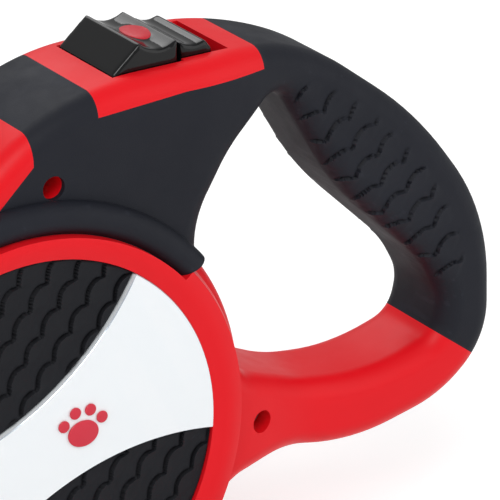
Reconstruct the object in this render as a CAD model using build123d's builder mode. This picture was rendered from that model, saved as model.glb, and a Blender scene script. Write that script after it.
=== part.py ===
from build123d import *

import os
from math import cos, pi, radians, sin

# Hand-held retractable leash: a spring-wound tape reel in a two-half casing, with a
# closed hand loop behind it, and a brake button and a lock button on the deck above it.
# +X points back to the hand, -X forward to the tape outlet, +Z up; the casing halves
# meet at Y = 0, and the near side is -Y. The origin is the middle of the hand grip.
# Sketches are drawn on the reel plane, which starts at the reel's axis and looks at the
# near side, so radii read straight off it; depth is measured from Y = 0 to the near side.

# ---------------------------------------------------------------- overall sizes
GRIP_BACK = 115.0          # grip middle behind the reel axis
GRIP_RISE = 48.0           # grip middle above the reel axis
BODY_R = 66.0              # casing round the reel
BODY_HALF = 20.0           # half thickness of the body panels
GRIP_HALF = 14.0           # half thickness of the hand loop
DRUM_RISE = 1.8            # reel housing stands this much proud, under the side rings
EDGE_ROUND = 6.0           # rounding of the casing's long edges
DECK_Z = 91.7              # flat deck that carries the buttons
HUMP_R = 66.0              # front slope of the deck
HUMP_TURN = 60.0           # how far round that slope goes
DECK_FRONT = 36.0          # where the front slope meets the deck
TAPER_START = 52.0         # body starts to thin towards the hand loop
TAPER_END = 92.0           # hand loop's own thickness from here back

# Hand loop and opening as straight runs, with a rounding radius at each corner.
HAND_OUTER = [(85, DECK_Z), (125, 61), (148.5, 29), (149.5, -8), (134, -22), (104, -28.5), (83, -23.5), (58, -26.5)]
HAND_OUTER_ROUND = [66, 110, 60, 24, 36, 60, 40]
OPENING = [(79.5, 79.5), (99, 46), (127.5, 18.5), (133.5, 6.5), (131, -3.5), (112, -9.2), (90, -6.2), (50, 10.5),
           (50, 30), (52, 36), (53, 51), (62.5, 66.5)]
OPENING_ROUND = [6, 80, 40, 12, 8, 60, 50, 3, 3, 2, 25, 30]

# ---------------------------------------------------------------- walls and fits
SKIN = 1.5                 # soft overmould on the shell
WALL = 2.4                 # shell wall under the skin
BEZEL_WALL = 2.4
RUN_FIT = 0.05             # shaft in bush, radial
SEAT_FIT = 0.1             # piece dropped into its pocket
GAP = 0.3                  # between pieces that must not touch
WELL_GAP = 0.4             # round the buttons

# ---------------------------------------------------------------- side trim
RING_R = 62.5
RING_BORE = 52.8
RING_TALL = 3.2            # over the reel housing
PAD_THICK = 1.6
PLATE_THICK = 2.6
PLATE_EDGE = [(-52.3, 4.5), (1.5, 14.0), (30.0, 43.2)]   # hollow upper edge; the lower one is the same, half a turn on
EMBLEM_AT = (13.8, 4.1)
EMBLEM_R = 4.4             # main pad of the paw
EMBLEM_THICK = 0.6
BEAD_BORE = 58.6           # soft bead over the reel housing, inner edge
BEAD_MID = 62.6
BEAD_WIDE = 4.2
BEAD_TALL = 3.9
BEAD_RISE = 0.2            # its middle over the body panel
BEAD_START = 41.0          # where the bead begins and ends, round the reel
BEAD_END = 107.0

# ---------------------------------------------------------------- reel
TAPE_WIDE = 20.0
TAPE_THICK = 1.0
TAPE_LONG = 5000.0
HUB_STAND = 3.5            # drum hub beyond the tape's near edge
DRUM_R = 24.0
DRUM_WALL = 2.0
FLANGE_R = 55.0
FLANGE_THICK = 2.0
SIDE_PLAY = 0.2            # tape to flange
TOOTH_DEEP = 3.5
TEETH = 28
HUB_R = 9.0
SPINDLE_R = 4.0
BUSH_WALL = 1.8
BUSH_LONG = 4.0
SPRING_CASE_R = 44.0
SPRING_CASE_WALL = 1.4
SPRING_TURNS = 7
SPRING_THICK = 0.6
SPINDLE_SEAT = 1.2         # spindle into each side wall
BOSS_TALL = 1.0            # thrust boss inside each side wall
END_PLAY = 0.4

# ---------------------------------------------------------------- brake and lock
BRAKE_FRONT = 31.0
BRAKE_LONG = 19.0
BRAKE_SLOPE = 8.0          # front face leans back this far by its top
BRAKE_HALF = 13.0
BRAKE_TOP = 98.5
SADDLE_DIP = 2.6           # hollow for the thumb
BRAKE_TRAVEL = 3.5
INLAY_LONG = 11.0          # oval inlay in the button's saddle
INLAY_WIDE = 6.4
INLAY_THICK = 1.8
INLAY_SINK = 4.0           # its foot below the button's top
FLANGE_OUT = 2.0           # button flange beyond the well
FLANGE_AHEAD = 5.0         # and ahead of the brake button, over its stem
FLANGE_DROP = 1.2          # and below the deck's underside
BUTTON_FLANGE = 2.0
STEM_WIDE = 6.0
STEM_THICK = 6.5
PAWL_OVER = 0.3            # pawl beyond the ratchet flange's outer face
LOCK_FRONT = 51.5
LOCK_LONG = 9.5
LOCK_HALF = 11.5
LOCK_FLANGE_OUT = 1.0
LOCK_TOP = 96.0
LOCK_TRAVEL = 4.0
CHASSIS_Z = 72.0
CHASSIS_THICK = 2.0
CHASSIS_ENDS = (22.0, 50.0)
RAIL = (52.0, 63.0)
RAIL_HALF = 8.0
CATCH_THICK = 1.2
CATCH_GAP = 0.5
CATCH_IN = 8.5             # lug and catch start this far from the middle
LUG_DROP = 2.2             # top of the brake's catch lug under its flange
LUG = (40.0, 44.2, 46.0)   # its tip, its web and the web's back
CATCH = (36.0, 39.6)       # lock's catch, ahead of the lug until the lock slides back
CATCH_LEG = (0.5, 3.5)     # leg that carries it, behind the lock's front
PAWL_ARM = 21.0
PAWL_ANGLE = 60.0          # where its tip works, round the reel
PAWL_NOSE_R = 2.6
PAWL_CLEAR = 2.6           # arm over the tips of the teeth
PAWL_HUB_R = 2.8
PAWL_PIN_R = 1.5
COIL_U = 40.0
COIL_R = 3.2
COIL_WIRE = 0.7
COIL_TURNS = 5

# ---------------------------------------------------------------- screws and outlet
SCREW_HOLE_R = 3.1
SCREW_HEAD_R = 2.8
SCREW_HEAD_TALL = 2.2
SCREW_R = 1.5
SCREW_LONG = 24.0
RECESS_LONG = 3.2          # cross recess in the heads
RECESS_WIDE = 0.9
RECESS_DEEP = 1.2
POST_R = 4.6
RIM_POST_R = 3.0
OPEN_SCREWS = [(9.5, 69.3), (72.3, -11.2)]
OPEN_HEAD_DEPTH = 9.0      # underside of the heads
RIM_SCREW_R = 58.9         # screws under the side ring
RIM_SCREW_ANGLES = (143.0, -160.0, -105.0, -50.0)
RIM_HEAD_SINK = 0.9        # underside of their heads below the wall's inner face
TAPE_FALL = 35.0           # the tape leaves forward and this far down
NOSE_REACH = 50.0          # mouth ahead of where the tape leaves the pack
NOSE_HALF = 11.0
MOUTH_HIGH = 5.0
MOUTH_WIDE = 23.0
GUIDE_WALL = 3.0
GUIDE_LONG = 11.5
GUIDE_LIP = 0.8
ROLLER_BACK = 7.0
ROLLER_R = 2.5
ROLLER_PIN_R = 1.0
ROLLER_NIP = 1.2           # between the two rollers, for the tape

# ---------------------------------------------------------------- worked out
REEL_AXIS = (-GRIP_BACK, 0, -GRIP_RISE)
REEL = Plane(origin=REEL_AXIS, x_dir=(1, 0, 0), z_dir=(0, -1, 0))
SECTION = Plane(origin=REEL_AXIS, x_dir=(1, 0, 0), z_dir=(0, 0, -1))
PLAN = Plane(origin=REEL_AXIS, x_dir=(1, 0, 0), z_dir=(0, 0, 1))
SPIN = Axis(REEL_AXIS, (0, 1, 0))
DRUM_HALF = BODY_HALF + DRUM_RISE
CAVITY_HALF = DRUM_HALF - SKIN - WALL
BODY_CAVITY_HALF = BODY_HALF - SKIN - WALL
DECK_UNDER = DECK_Z - SKIN - WALL
HUB_FACE = CAVITY_HALF - BOSS_TALL - END_PLAY
RIM_HEAD_DEPTH = CAVITY_HALF - RIM_HEAD_SINK
TAPE_NEAR = HUB_FACE - HUB_STAND
TAPE_FAR = TAPE_NEAR - TAPE_WIDE
NEAR_FLANGE = TAPE_NEAR + SIDE_PLAY
STEM_DEPTH = (NEAR_FLANGE + FLANGE_THICK + PAWL_OVER - STEM_THICK, NEAR_FLANGE + FLANGE_THICK + PAWL_OVER)
FAR_FLANGE = TAPE_FAR - SIDE_PLAY - FLANGE_THICK
PACK_R = (DRUM_R**2 + TAPE_LONG * TAPE_THICK / pi) ** 0.5
BUSH_R = SPINDLE_R + RUN_FIT + BUSH_WALL
BUTTON_FLANGE_TOP = DECK_UNDER - FLANGE_DROP
BUTTON_FLANGE_FOOT = BUTTON_FLANGE_TOP - BUTTON_FLANGE
LUG_FOOT = BUTTON_FLANGE_FOOT - LUG_DROP - CATCH_THICK
CHASSIS_TOP = CHASSIS_Z + CHASSIS_THICK
LOCK_BACK = LOCK_FRONT + LOCK_LONG
INLAY_FOOT = BRAKE_TOP - INLAY_SINK
INLAY_AT = BRAKE_FRONT + 14.5
ROLLER_OFF = ROLLER_R + ROLLER_NIP / 2
GUIDE_HIGH = 2 * (ROLLER_OFF + ROLLER_R) + GUIDE_WALL
GUIDE_WIDE = MOUTH_WIDE + 2 * GUIDE_WALL


def on_reel(radius, angle):
    """Point at a radius, and an angle in degrees up from straight back, round the reel axis."""
    return (radius * cos(radians(angle)), radius * sin(radians(angle)))


def turned(point, centre, angle):
    """The point after a turn in degrees about a centre."""
    du, dw = point[0] - centre[0], point[1] - centre[1]
    c, s = cos(radians(angle)), sin(radians(angle))
    return (centre[0] + c * du - s * dw, centre[1] + s * du + c * dw)


TAPE_LEAVES = on_reel(PACK_R, 90 + TAPE_FALL)
FORWARD = (-cos(radians(TAPE_FALL)), -sin(radians(TAPE_FALL)))
UPWARD = (-sin(radians(TAPE_FALL)), cos(radians(TAPE_FALL)))


def along_tape(ahead, above):
    """Point so far ahead of where the tape leaves the pack, and above its line."""
    return (TAPE_LEAVES[0] + ahead * FORWARD[0] + above * UPWARD[0],
            TAPE_LEAVES[1] + ahead * FORWARD[1] + above * UPWARD[1])


MOUTH = Plane(origin=REEL.from_local_coords((*along_tape(NOSE_REACH, 0), 0)),
              x_dir=(0, -1, 0), z_dir=(FORWARD[0], 0, FORWARD[1]))

# The pawl pivots behind its tip, so that the tip moves straight in towards the reel.
PAWL_TIP = on_reel(FLANGE_R, PAWL_ANGLE)
PAWL_PIVOT = (PAWL_TIP[0] + PAWL_ARM * sin(radians(PAWL_ANGLE)), PAWL_TIP[1] - PAWL_ARM * cos(radians(PAWL_ANGLE)))
PAWL_NOSE = on_reel(FLANGE_R + PAWL_NOSE_R + PAWL_CLEAR, PAWL_ANGLE + 2)
PAWL_SWING = BRAKE_TRAVEL / (PAWL_PIVOT[0] - PAWL_NOSE[0]) * 180 / pi
PAWL_NOSE_REST = turned(PAWL_NOSE, PAWL_PIVOT, -PAWL_SWING / 2)
STEM_FOOT = PAWL_NOSE_REST[1] + PAWL_NOSE_R + GAP

JUNCTIONS = [((65.9, 3.8), 8), ((60.6, -26.2), 10), ((52.3, 40.2), 12), ((-18, 63.5), 20),
             (along_tape(NOSE_REACH, NOSE_HALF), 9), (along_tape(NOSE_REACH, -NOSE_HALF), 9)]


def disc(radius, low, high, at=(0, 0)):
    """A round bar across the casing."""
    with BuildPart() as piece:
        with BuildSketch(REEL.offset(low)):
            with Locations(at):
                Circle(radius)
        extrude(amount=high - low)
    return piece.part


def block(u, w, depth):
    """A box given by its two ends along the reel plane's axes and its two depths."""
    with BuildPart() as piece:
        with BuildSketch(REEL.offset(depth[0])):
            with Locations(((u[0] + u[1]) / 2, (w[0] + w[1]) / 2)):
                Rectangle(u[1] - u[0], w[1] - w[0])
        extrude(amount=depth[1] - depth[0])
    return piece.part


def spun(*points):
    """A body of revolution about the spindle; each point is a radius and a depth."""
    with BuildPart() as piece:
        with BuildSketch(SECTION):
            with BuildLine():
                Polyline(*points, close=True)
            make_face()
        revolve(axis=SPIN)
    return piece.part


def outline(inset):
    """Side silhouette of the casing with its hand opening, drawn in by inset."""
    turn = radians(HUMP_TURN)
    hump_foot = (DECK_FRONT - HUMP_R * sin(turn), DECK_Z - HUMP_R * (1 - cos(turn)))
    with BuildSketch(REEL) as shape:
        with BuildLine():
            rim = FilletPolyline((DECK_FRONT, DECK_Z), *HAND_OUTER, radius=HAND_OUTER_ROUND)
            Polyline(rim @ 1, (30, -40), (-20, 0), hump_foot)
            RadiusArc(hump_foot, (DECK_FRONT, DECK_Z), HUMP_R)
        make_face()
        with BuildLine():
            FilletPolyline(*OPENING, radius=OPENING_ROUND, close=True)
        make_face(mode=Mode.SUBTRACT)
        Circle(BODY_R)
        with BuildLine():
            Polyline(on_reel(BODY_R, 128), along_tape(NOSE_REACH, NOSE_HALF), along_tape(NOSE_REACH, -NOSE_HALF),
                     (-45, -10), (-20, 20), close=True)
        make_face()
        for corner, radius in JUNCTIONS:
            fillet(shape.vertices().sort_by_distance(corner)[0], radius)
        if inset:
            offset(amount=-inset)
    return shape.sketch


def casing(inset=0.0):
    """Whole casing as one solid, every face drawn in by inset."""
    body_half, grip_half = BODY_HALF - inset, GRIP_HALF - inset
    with BuildPart() as body:
        extrude(outline(inset), amount=BODY_HALF, both=True)
        with BuildSketch(PLAN.offset(-2 * BODY_R)):
            with BuildLine():
                front = Line((-2 * BODY_R, body_half), (TAPER_START, body_half))
                Spline((TAPER_START, body_half), (TAPER_END, grip_half), tangents=[(1, 0), (1, 0)])
                Polyline((TAPER_END, grip_half), (3 * BODY_R, grip_half), (3 * BODY_R, 0), (-2 * BODY_R, 0), front @ 0)
            make_face()
            mirror(about=Plane.XZ)
        extrude(amount=4 * BODY_R, mode=Mode.INTERSECT)
        long_edges = body.edges().filter_by(Axis.Z, reverse=True).filter_by(
            lambda edge: abs((edge @ 0.5).Y) > grip_half - 0.1)
        fillet(long_edges, EDGE_ROUND - inset)
        with BuildSketch(REEL.offset(inset - DRUM_HALF)):
            Circle(RING_R - inset)
        extrude(amount=2 * (DRUM_HALF - inset))
    return body.part


def soft_zone():
    """Where the soft skin covers the casing, seen from the side."""
    with BuildSketch(REEL) as zone:
        with BuildLine():
            start, end = on_reel(BEAD_BORE, BEAD_START), on_reel(BEAD_BORE, BEAD_END)
            RadiusArc(end, start, BEAD_BORE)
            Polyline(start, (49.5, 40.5), (75, 54), (115, 10), (165, -28), (170, 120), (4, 120), (4, 76), end)
        make_face()
    return zone.sketch


def bezel_zone():
    """Where the button bezel wraps over the deck."""
    with BuildSketch(REEL) as zone:
        with BuildLine():
            Polyline((22.5, 120), (22.5, 84.8), (48, 86.3), (73, 86.0), (73, 120), close=True)
        make_face()
    return zone.sketch


def halves(whole, name):
    """The near and far halves of a piece, labelled."""
    for side, kept in (("near", Keep.TOP), ("far", Keep.BOTTOM)):
        with BuildPart() as half:
            add(whole)
            split(bisect_by=Plane.XZ, keep=kept)
        half.part.label = f"{side}_{name}"
        yield side, half.part


def both_sides(piece, name):
    """Writes a near-side piece and its mirror image on the far side."""
    keep(piece, f"near_{name}")
    keep(piece.mirror(Plane.XZ), f"far_{name}")


def keep(piece, name):
    """Labels a finished piece and writes it."""
    piece.label = name
    export_step(piece, f"parts/{name}.step")


# ================================================================ casing
def screw_places():
    """Every case screw: where it stands, the depth under its head, and its post's radius."""
    for place in OPEN_SCREWS:
        yield place, OPEN_HEAD_DEPTH, POST_R
    for angle in RIM_SCREW_ANGLES:
        yield on_reel(RIM_SCREW_R, angle), RIM_HEAD_DEPTH, RIM_POST_R


def screw_holes():
    """Head pockets and shank holes, cut from the near side."""
    with BuildPart() as holes:
        for place, head, _ in screw_places():
            add(disc(SCREW_HOLE_R, head, DRUM_HALF + BEAD_TALL, place))
            add(disc(SCREW_R + SEAT_FIT / 2, head - SCREW_LONG - GAP, head, place))
    return holes.part


def button_wells():
    """The opening in the deck that both buttons stand in."""
    top = (CHASSIS_TOP + 10, DECK_Z + 20)
    brake = block((BRAKE_FRONT - WELL_GAP, LOCK_FRONT), top, (-BRAKE_HALF - WELL_GAP, BRAKE_HALF + WELL_GAP))
    lock = block((LOCK_FRONT, LOCK_BACK + LOCK_TRAVEL + WELL_GAP), top, (-LOCK_HALF - WELL_GAP, LOCK_HALF + WELL_GAP))
    return brake + lock


def make_casing():
    """Both shells, both soft overmoulds and the button bezel."""
    full, under_skin, cavity = casing(), casing(SKIN), casing(SKIN + WALL)
    wells, holes = button_wells(), screw_holes()
    with BuildPart() as zone:
        extrude(soft_zone(), amount=2 * DRUM_HALF, both=True)
        extrude(bezel_zone(), amount=2 * DRUM_HALF, both=True, mode=Mode.SUBTRACT)
    with BuildPart() as bead:
        with BuildSketch(SECTION):
            for side in (1, -1):
                with Locations((BEAD_MID, side * (BODY_HALF + BEAD_RISE))):
                    Ellipse(BEAD_WIDE, BEAD_TALL)
        revolve(axis=SPIN)
    with BuildPart() as skin:
        add(full)
        add(bead.part)
        add(zone.part, mode=Mode.INTERSECT)
        add(under_skin, mode=Mode.SUBTRACT)
        add(holes, mode=Mode.SUBTRACT)
    with BuildPart() as bezel:
        extrude(bezel_zone(), amount=2 * DRUM_HALF, both=True)
        add(full, mode=Mode.INTERSECT)
        add(casing(BEZEL_WALL), mode=Mode.SUBTRACT)
        add(wells, mode=Mode.SUBTRACT)
    keep(bezel.part, "button_bezel")
    with BuildPart() as posts:
        for place, _, radius in screw_places():
            add(disc(radius, -BODY_HALF, DRUM_HALF, place))
        add(disc(SPINDLE_R + BUSH_WALL, HUB_FACE + END_PLAY, CAVITY_HALF))
        add(disc(SPINDLE_R + BUSH_WALL, -CAVITY_HALF, -HUB_FACE - END_PLAY))
        add(disc(PAWL_HUB_R, STEM_DEPTH[1] + GAP, BODY_HALF, PAWL_PIVOT))
        add(disc(PAWL_HUB_R, -BODY_HALF, -GAP, PAWL_PIVOT))
        add(under_skin, mode=Mode.INTERSECT)
    with BuildPart() as shell:
        add(full)
        add(cavity, mode=Mode.SUBTRACT)
        add(posts.part)
        for cut in (skin.part, bezel.part, wells, holes):
            add(cut, mode=Mode.SUBTRACT)
        add(disc(SPINDLE_R, -CAVITY_HALF - SPINDLE_SEAT, CAVITY_HALF + SPINDLE_SEAT), mode=Mode.SUBTRACT)
        pin_reach = BODY_CAVITY_HALF + SPINDLE_SEAT
        add(disc(PAWL_PIN_R, -pin_reach, pin_reach, PAWL_PIVOT), mode=Mode.SUBTRACT)
        with BuildSketch(MOUTH.offset(-GUIDE_LONG)):
            Rectangle(GUIDE_WIDE + 2 * SEAT_FIT, GUIDE_HIGH + 2 * SEAT_FIT)
        extrude(amount=2 * GUIDE_LONG, mode=Mode.SUBTRACT)
    for whole, name in ((shell.part, "shell"), (skin.part, "overmould")):
        for side, half in halves(whole, name):
            print(side, name, len(half.solids()), half.is_valid)
            export_step(half, f"parts/{side}_{name}.step")
    return zone.part


def make_screws():
    """All case screws as one group of separate solids."""
    with BuildPart() as screws:
        for place, head, _ in screw_places():
            with BuildSketch(REEL.offset(head)):
                with Locations(place):
                    Circle(SCREW_HEAD_R)
            extrude(amount=SCREW_HEAD_TALL)
            with BuildSketch(REEL.offset(head - SCREW_LONG)):
                with Locations(place):
                    Circle(SCREW_R)
            extrude(amount=SCREW_LONG)
            with BuildSketch(REEL.offset(head + SCREW_HEAD_TALL)):
                with Locations(place):
                    Rectangle(RECESS_LONG, RECESS_WIDE)
                    Rectangle(RECESS_WIDE, RECESS_LONG)
            extrude(amount=-RECESS_DEEP, mode=Mode.SUBTRACT)
    keep(screws.part, "case_screws")


# ================================================================ side trim
def make_side_trim(zone):
    """Ring, rubber pad, badge plate and emblem of the near side, and their mirror images."""
    seat = DRUM_HALF
    with BuildPart() as ring:
        with BuildSketch(SECTION) as profile:
            with BuildLine():
                Polyline((RING_BORE, seat), (RING_BORE, seat + 2.2), (RING_BORE + 3, seat + RING_TALL),
                         (RING_R - 4, seat + RING_TALL), (RING_R - 1, seat + 2), (RING_R, seat), close=True)
            make_face()
        revolve(axis=SPIN)
        add(zone, mode=Mode.SUBTRACT)
    both_sides(ring.part, "side_ring")

    trim_r = RING_BORE - SEAT_FIT
    with BuildSketch(REEL) as band:
        with BuildLine():
            upper = ThreePointArc(*PLATE_EDGE)
            lower = ThreePointArc(*[(-u, -w) for u, w in PLATE_EDGE])
            Polyline(upper @ 1, (70, 40), (70, 0), lower @ 0)
            Polyline(lower @ 1, (-70, -40), (-70, 0), upper @ 0)
        make_face()
        Circle(trim_r, mode=Mode.INTERSECT)
    with BuildPart() as plate:
        extrude(band.sketch.moved(Location((0, -seat, 0))), amount=PLATE_THICK)
    both_sides(plate.part, "badge_plate")
    with BuildPart() as pad:
        add(disc(trim_r, seat, seat + PAD_THICK))
        with BuildSketch(REEL.offset(seat)):
            add(band.sketch_local)
            offset(amount=SEAT_FIT)
        extrude(amount=PAD_THICK, mode=Mode.SUBTRACT)
    both_sides(pad.part, "side_pad")

    toes = [(EMBLEM_R * 1.45 * cos(radians(a)), EMBLEM_R * 1.45 * sin(radians(a))) for a in (30, 70, 110, 150)]
    with BuildPart() as emblem:
        with BuildSketch(REEL.offset(seat + PLATE_THICK)):
            with Locations(EMBLEM_AT):
                Ellipse(EMBLEM_R, EMBLEM_R * 0.8)
                with Locations(*toes):
                    Circle(EMBLEM_R * 0.36)
        extrude(amount=EMBLEM_THICK)
    both_sides(emblem.part, "paw_emblem")


# ================================================================ reel
def make_reel():
    """Spindle, bushes, drum with ratchet flange, far flange, tape pack, spring and its case."""
    keep(disc(SPINDLE_R, -CAVITY_HALF - SPINDLE_SEAT + SEAT_FIT, CAVITY_HALF + SPINDLE_SEAT - SEAT_FIT), "spindle")
    for name, low in (("near_bush", HUB_FACE - BUSH_LONG), ("far_bush", -HUB_FACE)):
        keep(disc(BUSH_R, low, low + BUSH_LONG) - disc(SPINDLE_R + RUN_FIT, low, low + BUSH_LONG), name)
    root_r = FLANGE_R - TOOTH_DEEP
    tooth_step = 360 / TEETH
    tooth_at = PAWL_ANGLE - tooth_step / 2 - 0.5
    with BuildPart() as drum:
        add(spun((DRUM_R - DRUM_WALL, TAPE_FAR - SIDE_PLAY), (DRUM_R, TAPE_FAR - SIDE_PLAY), (DRUM_R, NEAR_FLANGE),
                 (root_r, NEAR_FLANGE), (root_r, NEAR_FLANGE + FLANGE_THICK), (HUB_R, NEAR_FLANGE + FLANGE_THICK),
                 (HUB_R, HUB_FACE), (BUSH_R, HUB_FACE), (BUSH_R, HUB_FACE - BUSH_LONG),
                 (HUB_R, HUB_FACE - BUSH_LONG - 1), (DRUM_R - DRUM_WALL, NEAR_FLANGE)))
        with BuildSketch(REEL.offset(NEAR_FLANGE)):
            for turn in range(TEETH):
                at = tooth_at + turn * tooth_step
                with BuildLine():
                    Polyline(on_reel(root_r - 1, at - 2.8), on_reel(FLANGE_R, at + 1.2),
                             on_reel(FLANGE_R, at + 2.4), on_reel(root_r - 1, at + 2.8), close=True)
                make_face()
        extrude(amount=FLANGE_THICK)
        with BuildSketch(REEL.offset(NEAR_FLANGE)):
            with PolarLocations((DRUM_R + root_r) / 2, 6):
                Circle(8)
        extrude(amount=FLANGE_THICK, mode=Mode.SUBTRACT)
    keep(drum.part, "reel_drum")
    case_floor = -HUB_FACE + 1
    keep(spun((BUSH_R + SEAT_FIT, FAR_FLANGE), (root_r, FAR_FLANGE), (root_r, FAR_FLANGE + FLANGE_THICK),
              (BUSH_R + SEAT_FIT, FAR_FLANGE + FLANGE_THICK)), "reel_flange")
    keep(spun((DRUM_R, TAPE_FAR), (PACK_R, TAPE_FAR), (PACK_R, TAPE_NEAR), (DRUM_R, TAPE_NEAR)), "wound_tape")
    keep(spun((BUSH_R, -HUB_FACE), (SPRING_CASE_R, -HUB_FACE), (SPRING_CASE_R, FAR_FLANGE),
              (SPRING_CASE_R - SPRING_CASE_WALL, FAR_FLANGE), (SPRING_CASE_R - SPRING_CASE_WALL, case_floor),
              (BUSH_R + SPRING_CASE_WALL, case_floor), (BUSH_R + SPRING_CASE_WALL, BUSH_LONG - HUB_FACE),
              (BUSH_R, BUSH_LONG - HUB_FACE)), "spring_case")
    inner_r, outer_r = BUSH_R + SPRING_CASE_WALL + 1, SPRING_CASE_R - SPRING_CASE_WALL - 2 * GAP
    steps = SPRING_TURNS * 8
    pitch = (outer_r - SPRING_THICK - inner_r) / steps
    coil = [on_reel(inner_r + pitch * step, 45 * step) for step in range(steps + 1)]
    back = [on_reel(inner_r + pitch * step + SPRING_THICK, 45 * step) for step in range(steps, -1, -1)]
    with BuildPart() as spring:
        with BuildSketch(REEL.offset(case_floor + GAP)):
            with BuildLine():
                inside = Spline(*coil)
                outside = Spline(*back)
                Line(inside @ 1, outside @ 0)
                Line(outside @ 1, inside @ 0)
            make_face()
        extrude(amount=FAR_FLANGE - case_floor - 2 * GAP)
    keep(spring.part, "power_spring")


# ================================================================ brake and lock
def make_brake():
    """Brake button with its stem and catch lug, its inlay, the pawl, its pin and the return spring."""
    back = BRAKE_FRONT + BRAKE_LONG
    with BuildPart() as button:
        with BuildSketch(REEL.offset(-BRAKE_HALF)):
            with BuildLine():
                crest = (BRAKE_FRONT + BRAKE_SLOPE, BRAKE_TOP)
                Polyline(crest, (BRAKE_FRONT, DECK_Z), (BRAKE_FRONT, BUTTON_FLANGE_FOOT),
                         (back, BUTTON_FLANGE_FOOT), (back, BRAKE_TOP - 1))
                ThreePointArc((back, BRAKE_TOP - 1), (INLAY_AT, BRAKE_TOP - SADDLE_DIP), crest)
            make_face()
        extrude(amount=2 * BRAKE_HALF)
        wide = BRAKE_HALF + FLANGE_OUT
        add(block((BRAKE_FRONT - FLANGE_AHEAD, back), (BUTTON_FLANGE_FOOT, BUTTON_FLANGE_TOP), (-wide, wide)))
        stem = (PAWL_NOSE[0] - STEM_WIDE / 2, PAWL_NOSE[0] + STEM_WIDE / 2)
        add(block(stem, (STEM_FOOT, BUTTON_FLANGE_FOOT + 1), STEM_DEPTH))
        lug = (-CATCH_IN - FLANGE_OUT, -CATCH_IN)
        add(block(LUG[1:], (LUG_FOOT, BUTTON_FLANGE_FOOT), lug))
        add(block(LUG[:2], (LUG_FOOT, LUG_FOOT + CATCH_THICK), lug))
        with BuildSketch(PLAN.offset(INLAY_FOOT)):
            with Locations((INLAY_AT, 0)):
                SlotOverall(INLAY_LONG, INLAY_WIDE, rotation=90)
        extrude(amount=BRAKE_TOP - INLAY_FOOT + 1, mode=Mode.SUBTRACT)
    keep(button.part, "brake_button")
    with BuildPart() as inlay:
        with BuildSketch(PLAN.offset(INLAY_FOOT)):
            with Locations((INLAY_AT, 0)):
                SlotOverall(INLAY_LONG - 2 * SEAT_FIT, INLAY_WIDE - 2 * SEAT_FIT, rotation=90)
        extrude(amount=INLAY_THICK)
    keep(inlay.part, "brake_inlay")

    with BuildPart() as pawl:
        with BuildSketch(REEL.offset(STEM_DEPTH[0])):
            with BuildLine():
                Polyline(PAWL_PIVOT, PAWL_NOSE)
            trace(line_width=3.6)
            with Locations(PAWL_PIVOT):
                Circle(PAWL_HUB_R)
            with Locations(PAWL_NOSE):
                Circle(PAWL_NOSE_R)
            with BuildLine():
                Polyline(PAWL_TIP, on_reel(FLANGE_R + 4.5, PAWL_ANGLE - 3.5), on_reel(FLANGE_R + 4.5, PAWL_ANGLE + 3),
                         close=True)
            make_face()
            with Locations(PAWL_PIVOT):
                Circle(PAWL_PIN_R + RUN_FIT, mode=Mode.SUBTRACT)
        extrude(amount=STEM_DEPTH[1] - STEM_DEPTH[0])
    pivot = Axis(REEL.from_local_coords((*PAWL_PIVOT, 0)), (0, -1, 0))
    keep(pawl.part.rotate(pivot, -PAWL_SWING / 2), "brake_pawl")
    pin_reach = BODY_CAVITY_HALF + SPINDLE_SEAT - SEAT_FIT
    keep(disc(PAWL_PIN_R, -pin_reach, pin_reach, PAWL_PIVOT), "pawl_pin")
    spacer = disc(PAWL_HUB_R, 0, STEM_DEPTH[0] - GAP, PAWL_PIVOT)
    keep(spacer - disc(PAWL_PIN_R + SEAT_FIT, 0, STEM_DEPTH[0], PAWL_PIVOT), "pawl_spacer")

    tall = BUTTON_FLANGE_FOOT - CHASSIS_TOP - 2 * SEAT_FIT - COIL_WIRE
    foot = REEL.from_local_coords((COIL_U, CHASSIS_TOP + SEAT_FIT + COIL_WIRE / 2, 0))
    with BuildPart() as coil:
        with BuildLine():
            wire = Helix(tall / COIL_TURNS, tall, COIL_R, center=foot)
        with BuildSketch(Plane(origin=wire @ 0, z_dir=wire % 0)):
            Circle(COIL_WIRE / 2)
        sweep(path=wire)
    keep(coil.part, "brake_spring")


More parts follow.
